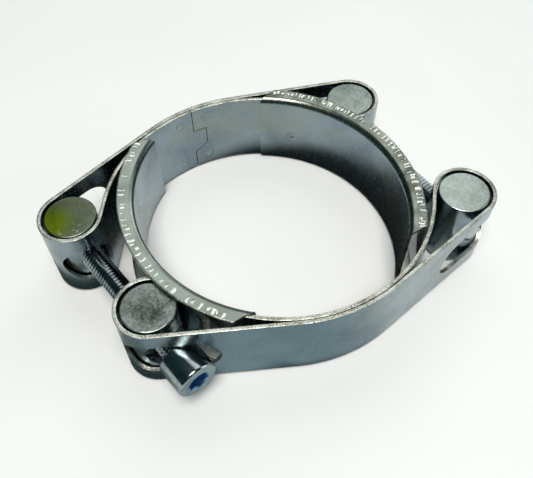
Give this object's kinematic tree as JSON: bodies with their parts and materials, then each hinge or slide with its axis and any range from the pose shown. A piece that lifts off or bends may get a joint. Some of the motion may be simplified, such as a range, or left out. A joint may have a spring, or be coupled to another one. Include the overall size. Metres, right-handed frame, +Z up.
{
  "type": "pipe repair clamp",
  "caption": "Pipe repair clamp of folded steel band halves looped round cross pins, drawn together by socket head cap screws, with flanged bridges across the gaps.",
  "frame": {"origin": "the front half's ring axis, on the plane the bridges' lower flanges rest on", "axes": "+Z up along the pipe, +X along the front half's parting line towards the right screw, +Y from the front half towards the rear half"},
  "size_m": [0.1134, 0.0792, 0.0246],
  "materials": {
    "band": "zinc-plated cold-rolled strip, bluish passivation, satin to bright, sheared edges",
    "bridge": "zinc-plated pressed strip, flange marked by radial press ticks",
    "pin": "zinc-plated turned bar with rough sawn ends",
    "screw": "zinc-plated, bright, rolled thread",
    "weld": "spot weld under zinc plating"
  },
  "bodies": {
    "front_half": {"band_front": "band", "seam_welds_front": "weld", "bridge_left": "bridge", "bridge_weld_left": "weld", "plain_pin_left": "pin", "barrel_pin_right": "pin"},
    "rear_half": {"band_rear": "band", "seam_welds_rear": "weld", "bridge_right": "bridge", "bridge_weld_right": "weld", "plain_pin_right": "pin"},
    "left_barrel": {"barrel_pin_left": "pin"},
    "left_screw": {"screw_left": "screw"},
    "right_screw": {"screw_right": "screw"}
  },
  "joints": [
    {"name": "halves_slide", "type": "slide", "parent": "front_half", "child": "rear_half", "axis": [-0.2453, 0.9694, 0], "range_m": [-0.0008, 0.005]},
    {"name": "left_barrel_slide", "type": "slide", "parent": "front_half", "child": "left_barrel", "axis": [-0.2981, 0.9545, 0], "range_m": [-0.0008, 0.005]},
    {"name": "right_screw_turn", "type": "hinge", "parent": "rear_half", "child": "right_screw", "pos_m": [0.03222, 0.0222, 0.0123], "axis": [0.2453, -0.9694, 0], "range_deg": [-1800.01, 288.01]},
    {"name": "left_screw_turn", "type": "hinge", "parent": "front_half", "child": "left_screw", "pos_m": [-0.04322, -0.02127, 0.0123], "axis": [-0.2981, 0.9545, 0], "range_deg": [-1800.01, 288.01]}
  ],
  "couplings": [
    {"joint": "left_barrel_slide", "follows": "halves_slide", "ratio": 0.9985},
    {"joint": "right_screw_turn", "follows": "halves_slide", "rad_per_m": -6283.2},
    {"joint": "left_screw_turn", "follows": "halves_slide", "rad_per_m": -6273.8}
  ]
}
